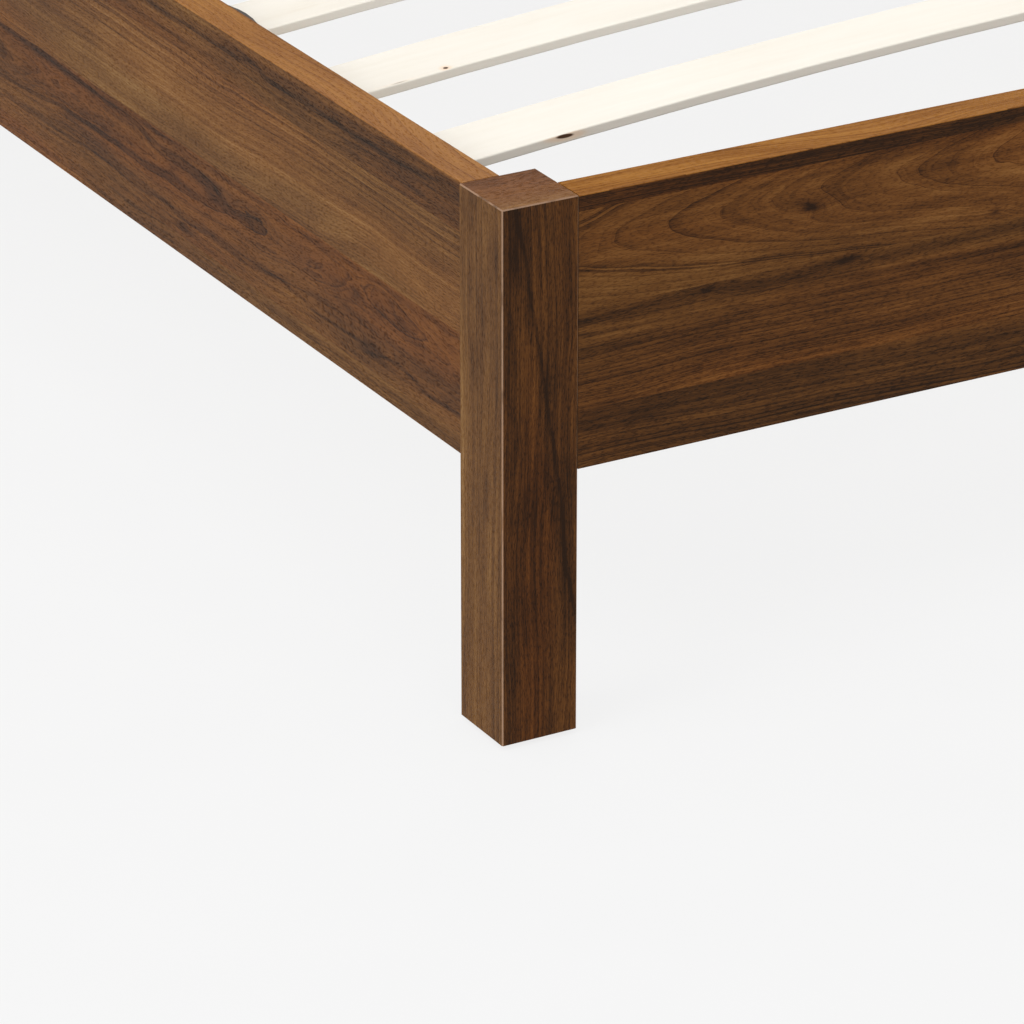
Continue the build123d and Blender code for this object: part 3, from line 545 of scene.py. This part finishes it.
# --- slats and support timber ---------------------------------------------------------------------
SLAT_WOOD = [(0.0, (0.62, 0.54, 0.43)), (0.4, (0.72, 0.675, 0.595)), (1.0, (0.80, 0.77, 0.71))]
SOFTWOOD = [(0.0, (0.42, 0.24, 0.10)), (0.4, (0.66, 0.47, 0.26)), (1.0, (0.80, 0.63, 0.40))]
BEECH = [(0.0, (0.34, 0.18, 0.09)), (0.5, (0.56, 0.36, 0.20)), (1.0, (0.70, 0.50, 0.32))]
KNOT_BROWN = (0.07, 0.030, 0.013)
KNOT_HALO = (0.78, 0.47, 0.24)
SLAT_COUNT = 13
SLAT_THICKNESS = 7.0 * MM


def bare_wood(name, along, colours, seed, knots=(), fine=1.0):
    """Unfinished wood with straight growth lines, fine fibres and brown knots. A knot is the face
    axis that it lies on, its place along and across the grain, half length, half width, strength."""
    graph = Graph(name)
    axes = {"x": graph.x, "y": graph.y, "z": graph.z}
    u = axes.pop(along)
    v, w = axes.values()
    sway = graph.noise((u * 1.6, v * 6.0, w * 6.0 + seed), 2.0) - 0.5
    bent_v, bent_w = v + sway * 0.02, w + sway * 0.02
    growth = graph.noise((u * 1.5, bent_v * 95.0 * fine, bent_w * 95.0 * fine + seed), 3.0, 0.6)
    fibres = graph.noise((u * 30.0, bent_v * 1500.0, bent_w * 1500.0 + seed), 2.0)
    clouds = graph.noise((u * 9.0, bent_v * 30.0, bent_w * 30.0 + seed), 3.0)
    shade = growth * 0.50 + fibres * 0.22 + clouds * 0.50 - 0.08
    colour = graph.ramp(shade, colours)
    for face, *knot in knots:
        shown = graph.faces(face, KNOT_FACE_LIMITS)
        across = axes["z" if face == "y" else "y"]
        pull, _, dark = knot_fields(graph, u, across, [knot])
        colour = graph.mix(graph.step(pull, 0.1, 0.9) * 0.4 * shown, colour, KNOT_HALO)
        colour = graph.mix(graph.step(dark, 0.10, 0.60) * shown, colour, KNOT_BROWN)
    roughness = 0.62 + fibres * 0.2
    height = fibres * 0.6 + growth * 0.4
    return graph.finish(colour, roughness, height, 0.1 * MM, Specular_IOR_Level=0.25)


# knots near the front edge of the first two slats: the axis of their face, place across the bed,
# place from the slat's front edge or, on the edge itself, from the top, half length, half width and
# strength
SLAT_KNOTS = {
    1: [("y", -0.680, -0.0020, 0.0075, 0.0016, 1.5)],
    2: [("z", -0.686, 0.0035, 0.0022, 0.0022, 1.2), ("z", -0.723, 0.0015, 0.011, 0.0013, 0.40)],
}


def slat_top(node, x):
    """How high a bowed slat's top is at a place across the bed."""
    low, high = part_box(node)
    half = (high.x - low.x) / 2
    rise = high.z - low.z - SLAT_THICKNESS
    return high.z - rise * (x / half) ** 2


def paint_bare_wood():
    """Pale slats, softwood ledges and beam, and beech dowels."""
    for number in range(1, SLAT_COUNT + 1):
        node = f"slat_{number:02d}"
        knots = []
        for face, x, inset, *shape in SLAT_KNOTS.get(number, ()):
            start = slat_top(node, x) if face == "y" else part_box(node)[0].y
            knots.append((face, x, start + inset, *shape))
        paint(bare_wood("wood_" + node, "x", SLAT_WOOD, 2.0 * number, knots), node)
    paint(bare_wood("wood_ledges", "y", SOFTWOOD, 41.0), "slat_ledge_left", "slat_ledge_right")
    paint(bare_wood("wood_beam", "y", SOFTWOOD, 47.0), "centre_beam")
    paint(bare_wood("wood_dowels", "z", BEECH, 53.0, fine=3.0), "rail_dowels", "seam_dowels")


# --- metals and plastics --------------------------------------------------------------------------
def yellow_zinc(name, bright=1.0):
    """Yellow-passivated zinc: a brassy metal with green and pink patches and fine scratches. With bright
    below 1 its colour is darkened as painted shade."""
    graph = Graph(name)
    x, y, z = graph.x, graph.y, graph.z
    film = graph.noise((x * 170.0, y * 170.0, z * 170.0), 3.0, 0.6)
    tints = [
        (0.30, (0.66, 0.50, 0.24)),
        (0.45, (0.70, 0.62, 0.26)),
        (0.60, (0.56, 0.64, 0.24)),
        (0.75, (0.72, 0.54, 0.34)),
    ]
    # bright below 1 dims the tints: painted shade
    colour = graph.ramp(film, [(place, [part * bright for part in tint]) for place, tint in tints])
    scratches = graph.noise((x * 2600.0, y * 2600.0, z * 350.0), 2.0)
    worn = graph.arris()
    colour = graph.mix(worn * 0.6, colour, (0.86, 0.86, 0.80))
    roughness = 0.24 + scratches * 0.18 + film * 0.1
    return graph.finish(colour, roughness, scratches, 0.03 * MM, Metallic=1.0)


def black_steel():
    """Black powder coat: a fine orange peel, dulled and greyed along its edges."""
    graph = Graph("black_steel")
    x, y, z = graph.x, graph.y, graph.z
    peel = graph.noise((x * 1400.0, y * 1400.0, z * 1400.0), 2.0)
    dust = graph.noise((x * 35.0, y * 35.0, z * 35.0), 3.0)
    colour = graph.ramp(dust, [(0.3, (0.003, 0.003, 0.003)), (0.7, (0.007, 0.007, 0.008))])
    worn = graph.arris() * graph.step(dust, 0.40, 0.62)
    colour = graph.mix(worn, colour, (0.05, 0.05, 0.05))
    roughness = 0.36 + dust * 0.18 + worn * 0.1
    return graph.finish(colour, roughness, peel, 0.08 * MM, Specular_IOR_Level=0.14)


def moulded_plastic(name, dark, light):
    """Moulded plastic with a fine spark-eroded texture and slightly polished edges."""
    graph = Graph(name)
    x, y, z = graph.x, graph.y, graph.z
    texture = graph.noise((x * 1100.0, y * 1100.0, z * 1100.0), 3.0, 0.6)
    flow = graph.noise((x * 55.0, y * 55.0, z * 55.0), 2.0)
    colour = graph.ramp(flow, [(0.3, dark), (0.7, light)])
    worn = graph.arris()
    colour = graph.mix(worn * 0.3, colour, (0.16, 0.155, 0.15))
    roughness = 0.50 + texture * 0.15 - worn * 0.12
    return graph.finish(colour, roughness, texture, 0.06 * MM, Specular_IOR_Level=0.35)


def paint_hardware(zinc, steel, plastic):
    """Materials of the metal and plastic parts."""
    caps = moulded_plastic("cap_plastic", (0.035, 0.029, 0.026), (0.060, 0.050, 0.045))
    paint(zinc, "seam_washers", "rail_washers", "post_inserts", "panel_inserts")
    paint(zinc, "headboard_screws", "ledge_screws", "hanger_screws", "leg_screws")
    paint(steel, "headboard_bolts", "headboard_bolt_washers")
    paint(steel, "beam_hangers", "centre_leg_front", "centre_leg_rear")
    paint(plastic, "post_glides", "leg_tube_plugs")
    paint(caps, "slat_caps_left", "slat_caps_right")


# --- meshes ---------------------------------------------------------------------------------------
def mesh_piece(name, bm, material, body):
    """An object from a bmesh, with a material and the body that it rides on."""
    bmesh.ops.recalc_face_normals(bm, faces=bm.faces)
    mesh = bpy.data.meshes.new(name)
    bm.to_mesh(mesh)
    bm.free()
    piece = bpy.data.objects.new(name, mesh)
    bpy.context.scene.collection.objects.link(piece)
    mesh.materials.append(material)
    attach(piece, body)
    return piece


def add_rings(bm, rings, closed_ends=True):
    """Joins rings of points, all with the same count, into a tube; its ends are capped if asked."""
    loops = [[bm.verts.new(point) for point in ring] for ring in rings]
    count = len(loops[0])
    for lower, upper in zip(loops, loops[1:]):
        for i in range(count):
            j = (i + 1) % count
            bm.faces.new((lower[i], lower[j], upper[j], upper[i]))
    if closed_ends:
        bm.faces.new(loops[0])
        bm.faces.new(loops[-1])
    return loops


def upright(start, direction):
    """The matrix that takes +Z at the origin to a direction at a start point."""
    turn = Vector(direction).to_track_quat("Z", "Y").to_matrix().to_4x4()
    return Matrix.Translation(Vector(start)) @ turn


THREAD_SIDES = 24
THREAD_RINGS_PER_TURN = 8
THREAD_DEPTH_PER_PITCH = 0.61
THREAD_CHAMFER = 0.8 * MM


def thread_rings(radius, pitch, length, place):
    """Rings of a threaded bar: a V thread winds round it and fades out over a chamfer at each end."""
    depth = THREAD_DEPTH_PER_PITCH * pitch
    steps = max(2, round(length / pitch * THREAD_RINGS_PER_TURN))
    rings = []
    for step in range(steps + 1):
        along = length * step / steps
        fade = min(1.0, along / THREAD_CHAMFER, (length - along) / THREAD_CHAMFER)
        ring = []
        for side in range(THREAD_SIDES):
            angle = 2 * pi * side / THREAD_SIDES
            phase = (along / pitch - side / THREAD_SIDES) % 1.0
            valley = abs(2 * phase - 1)
            r = radius - depth + depth * fade * (1 - valley)
            ring.append(place @ Vector((r * cos(angle), r * sin(angle), along)))
        rings.append(ring)
    return rings


def islands(node):
    """The lowest and highest corners of each separate solid of a CAD node."""
    bm = bmesh.new()
    bm.from_mesh(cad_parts[node].data)
    bmesh.ops.remove_doubles(bm, verts=bm.verts, dist=1e-6)
    found, unseen = [], set(bm.verts)
    while unseen:
        group, border = set(), [unseen.pop()]
        while border:
            vert = border.pop()
            group.add(vert)
            fresh = {edge.other_vert(vert) for edge in vert.link_edges} & unseen
            unseen -= fresh
            border.extend(fresh)
        places = [vert.co for vert in group]
        low = Vector([min(place[i] for place in places) for i in range(3)])
        high = Vector([max(place[i] for place in places) for i in range(3)])
        found.append((low, high))
    bm.free()
    return sorted(found, key=lambda box: tuple(round(c, 4) for c in box[0]))


def unit(axis):
    """The direction of an axis that is given by its number."""
    return Vector([float(i == axis) for i in range(3)])


def place_along(low, high, choose):
    """The axis along which a solid is longest, with max, or shortest, with min, and the matrix that
    takes +Z at the origin to that axis, from the middle of the solid's lower end."""
    size, middle = high - low, (low + high) / 2
    axis = choose(range(3), key=lambda i: size[i])
    return axis, upright(middle - unit(axis) * size[axis] / 2, unit(axis))


ROD_PITCH = 1.25 * MM


def threaded_rods(node, material):
    """Threaded rods in place of a node's plain ones."""
    bm = bmesh.new()
    for low, high in islands(node):
        size = high - low
        axis, place = place_along(low, high, max)
        add_rings(bm, thread_rings(min(size) / 2, ROD_PITCH, size[axis], place))
    piece = mesh_piece("threaded_" + node, bm, material, BODY)
    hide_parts(node)


NUT_SIDES = 72
NUT_BORE_RADIUS = 4.0 * MM
NUT_CHAMFER_SLOPE = tan(radians(30))


def hex_radius(angle, flat):
    """How far a hexagon's outline is from its middle; flat is half its width across flats."""
    return flat / cos((angle + pi / 6) % (pi / 3) - pi / 6)


def nut_rings(flat, height, place):
    """Rings of a hexagonal nut with both ends chamfered, from one end's bore round to it again."""
    angles = [2 * pi * i / NUT_SIDES for i in range(NUT_SIDES)]
    chamfer = [(hex_radius(a, flat) - flat) * NUT_CHAMFER_SLOPE for a in angles]
    profile = [
        [(NUT_BORE_RADIUS, 0.0)] * NUT_SIDES,
        [(flat, 0.0)] * NUT_SIDES,
        [(hex_radius(a, flat), drop) for a, drop in zip(angles, chamfer)],
        [(hex_radius(a, flat), height - drop) for a, drop in zip(angles, chamfer)],
        [(flat, height)] * NUT_SIDES,
        [(NUT_BORE_RADIUS, height)] * NUT_SIDES,
    ]
    return [
        [place @ Vector((r * cos(a), r * sin(a), h)) for a, (r, h) in zip(angles, ring)]
        for ring in profile
    ]


def nut_turn(size, axis):
    """The turn that puts a nut's corners where its node's corners are."""
    turn = unit(axis).to_track_quat("Z", "Y").to_matrix()
    wide = [i for i in range(3) if i != axis]
    widest = max(wide, key=lambda i: size[i])
    corner = turn.transposed() @ unit(widest)
    return pi / 6 if abs(corner.x) > abs(corner.y) else 0.0


def chamfered_nuts(node, material):
    """Hexagonal nuts with chamfered corners in place of a node's plain ones."""
    bm = bmesh.new()
    for low, high in islands(node):
        size = high - low
        axis, place = place_along(low, high, min)
        flat = sorted(size)[1] / 2
        place = place @ Matrix.Rotation(nut_turn(size, axis), 4, "Z")
        rings = add_rings(bm, nut_rings(flat, size[axis], place), closed_ends=False)
        for i in range(NUT_SIDES):
            j = (i + 1) % NUT_SIDES
            bm.faces.new((rings[0][i], rings[0][j], rings[-1][j], rings[-1][i]))
    piece = mesh_piece("chamfered_" + node, bm, material, BODY)
    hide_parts(node)


# --- centre legs ----------------------------------------------------------------------------------
WELD_RADIUS = 2.2 * MM
WELD_RIPPLE = 0.10
WELD_STEPS_PER_RIPPLE = 4
WELD_STEPS_PER_SIDE = 36
WELD_STEPS_PER_CORNER = 6
# as in the CAD: the plate's thickness, half the tube's width and its corner radius
LEG_PLATE = 3.0 * MM
TUBE_HALF = 14.0 * MM
TUBE_CORNER = 2.5 * MM
# the bead's section, outwards from the tube and down from the plate, in shares of its radius
WELD_SECTION = ((-0.3, 0.0), (-0.3, -1.0), (0.15, -0.95), (0.62, -0.62), (0.95, -0.15), (1.0, 0.0))


def rounded_square(half, corner, side_steps, corner_steps):
    """Points round a square with rounded corners, evenly spaced along each side and round each
    corner."""
    points = []
    for quarter in range(4):
        angle = quarter * pi / 2
        centre = Vector((half - corner, half - corner))
        start = Vector((half, -half + corner))
        turn = Matrix.Rotation(angle, 2)
        for i in range(side_steps):
            points.append(turn @ (start + Vector((0.0, 2 * (half - corner) * i / side_steps))))
        for i in range(corner_steps):
            bend = pi / 2 * i / corner_steps
            points.append(turn @ (centre + corner * Vector((cos(bend), sin(bend)))))
    return points


def weld_bead(place):
    """The rippled fillet weld between a centre leg's tube and its plate."""
    low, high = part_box("centre_leg_" + place)
    middle, plate_bottom = (low + high) / 2, high.z - LEG_PLATE
    path = rounded_square(TUBE_HALF, TUBE_CORNER, WELD_STEPS_PER_SIDE, WELD_STEPS_PER_CORNER)
    bm = bmesh.new()
    loops = []
    for index, point in enumerate(path):
        radius = WELD_RADIUS * (1.0 + WELD_RIPPLE * cos(2 * pi * index / WELD_STEPS_PER_RIPPLE))
        section = []
        for out, down in WELD_SECTION:
            reach = middle.xy + point + point.normalized() * radius * out
            section.append(bm.verts.new((reach.x, reach.y, plate_bottom + radius * down)))
        loops.append(section)
    for index, section in enumerate(loops):
        following = loops[(index + 1) % len(loops)]
        for i in range(len(section)):
            j = (i + 1) % len(section)
            bm.faces.new((section[i], section[j], following[j], following[i]))
    return bm


STUD_PITCH = 1.5 * MM
STUD_RADIUS = 5.0 * MM
STUD_OVERLAP = 1.0 * MM
PAD_SIDES = 48
PAD_FLUTE_EVERY = 4
# the pad's rings in millimetres: height, radius and how deep its flutes are there
PAD_PROFILE = (
    (0.0, 6.8, 0.0),
    (0.5, 7.6, 0.0),
    (1.2, 8.2, 0.3),
    (6.6, 10.0, 0.3),
    (7.7, 10.5, 0.0),
    (8.3, 10.2, 0.0),
    (8.7, 9.5, 0.0),
)
PAD_HEIGHT = PAD_PROFILE[-1][0] * MM


def levelling_foot(place, plastic):
    """A tapered plastic pad with fluted sides, moulded on a threaded stud."""
    node = "levelling_foot_" + place
    low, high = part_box(node)
    x, y = (low.x + high.x) / 2, (low.y + high.y) / 2
    bm = bmesh.new()
    rings = []
    for height, radius, flute in PAD_PROFILE:
        ring = []
        for side in range(PAD_SIDES):
            angle = 2 * pi * side / PAD_SIDES
            r = (radius - flute * (side % PAD_FLUTE_EVERY == 0)) * MM
            ring.append(Vector((x + r * cos(angle), y + r * sin(angle), low.z + height * MM)))
        rings.append(ring)
    add_rings(bm, rings)
    stud_bottom = low.z + PAD_HEIGHT - STUD_OVERLAP
    start = upright((x, y, stud_bottom), (0, 0, 1))
    add_rings(bm, thread_rings(STUD_RADIUS, STUD_PITCH, high.z - stud_bottom, start))
    body = place + "_leveller"
    piece = mesh_piece("levelling_foot_detail_" + place, bm, plastic, body)
    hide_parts(node)


def make_details():
    """Materials of the hardware and the pieces that are more finely shaped than in the CAD."""
    zinc = yellow_zinc("yellow_zinc")
    # a darker copy of the yellow zinc for the nuts: painted shade, since they sit deep in their recesses
    painted_shade_zinc = yellow_zinc("painted_shade_zinc", 0.55)
    steel = black_steel()
    plastic = moulded_plastic("black_plastic", (0.008, 0.008, 0.009), (0.018, 0.018, 0.020))
    paint_hardware(zinc, steel, plastic)
    for node in ("seam_rods", "rail_rods"):
        threaded_rods(node, zinc)
    for node in ("seam_nuts", "rail_nuts"):
        chamfered_nuts(node, painted_shade_zinc)
    for place in ("front", "rear"):
        mesh_piece("weld_bead_" + place, weld_bead(place), steel, BODY)
        levelling_foot(place, plastic)


# --- studio ---------------------------------------------------------------------------------------
FLOOR_HALF = 70.0
FLOOR_GREYS = (0.085, 0.089)
FLOOR_GLOW = 0.815
# the dome's tones: how high in the sky, from 0 at the horizon to 1 overhead, and how bright
DOME_TONES = ((0.10, 0.91), (0.70, 0.45))
LENS = 207.0
SENSOR_WIDTH = 36.0
# the camera's place from the foot-left post's outer top corner, and its turn and dip in degrees
CAMERA_FROM_CORNER = Vector((-1.694, -3.013, 1.329))
CAMERA_TURN = 29.45
CAMERA_DIP = 23.96


def make_floor():
    """A large pale floor with a faint mottle, a little of its own light and soft shadows."""
    bm = bmesh.new()
    bmesh.ops.create_grid(bm, x_segments=8, y_segments=8, size=FLOOR_HALF)
    mesh = bpy.data.meshes.new("floor")
    bm.to_mesh(mesh)
    bm.free()
    floor = bpy.data.objects.new("floor", mesh)
    bpy.context.scene.collection.objects.link(floor)
    graph = Graph("floor")
    mottle = graph.noise((graph.x * 9.0, graph.y * 9.0, 0.0), 3.0)
    dark, light = FLOOR_GREYS
    colour = graph.ramp(mottle, [(0.3, (dark, dark, dark)), (0.7, (light, light, light))])
    roughness = 0.9 + mottle * 0.05
    glow = {"Emission_Color": (1, 1, 1, 1), "Emission_Strength": FLOOR_GLOW}
    material = graph.finish(colour, roughness, Specular_IOR_Level=0.0, **glow)
    mesh.materials.append(material)


def soft_sun(name, source, spread, strength):
    """A broad light with soft shadows from a direction; its spread is in degrees."""
    lamp = bpy.data.lights.new(name, "SUN")
    lamp.angle, lamp.energy = radians(spread), strength
    light = bpy.data.objects.new(name, lamp)
    light.rotation_mode = "QUATERNION"
    light.rotation_quaternion = Vector(source).to_track_quat("Z", "Y")
    bpy.context.scene.collection.objects.link(light)


def make_world():
    """An even studio dome: bright at the horizon and softer overhead."""
    world = bpy.data.worlds.new("studio")
    world.use_nodes = True
    tree = world.node_tree
    place = tree.nodes.new("ShaderNodeTexCoord")
    split = tree.nodes.new("ShaderNodeSeparateXYZ")
    ramp = tree.nodes.new("ShaderNodeValToRGB")
    tree.links.new(place.outputs["Generated"], split.inputs[0])
    tree.links.new(split.outputs["Z"], ramp.inputs[0])
    tree.links.new(ramp.outputs[0], tree.nodes["Background"].inputs["Color"])
    for element, (height, tone) in zip(ramp.color_ramp.elements, DOME_TONES):
        element.position = height
        element.color = (tone, tone, tone, 1.0)
    bpy.context.scene.world = world


def make_camera():
    """The camera: a long lens that looks down past the foot's left corner post."""
    low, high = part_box("foot_post_left")
    data = bpy.data.cameras.new("camera")
    data.lens, data.sensor_width = LENS, SENSOR_WIDTH
    camera = bpy.data.objects.new("camera", data)
    camera.location = Vector((low.x, low.y, high.z)) + CAMERA_FROM_CORNER
    camera.rotation_euler = (radians(90.0 - CAMERA_DIP), 0.0, radians(-CAMERA_TURN))
    bpy.context.scene.collection.objects.link(camera)
    bpy.context.scene.camera = camera


def make_studio():
    """The floor, the dome, four soft lights and the camera."""
    make_floor()
    make_world()
    soft_sun("key", (-1.0, -0.1, 0.8), 40.0, 1.4)
    soft_sun("overhead", (-0.2, 0.0, 1.0), 70.0, 0.7)
    soft_sun("front_fill", (-0.2, -1.0, 1.0), 50.0, 1.0)
    soft_sun("back_fill", (0.5, 1.0, 0.6), 50.0, 0.7)
    bpy.context.scene.view_settings.view_transform = "Standard"
    make_camera()


paint_walnut()
paint_bands()
paint_bare_wood()
make_details()
make_studio()
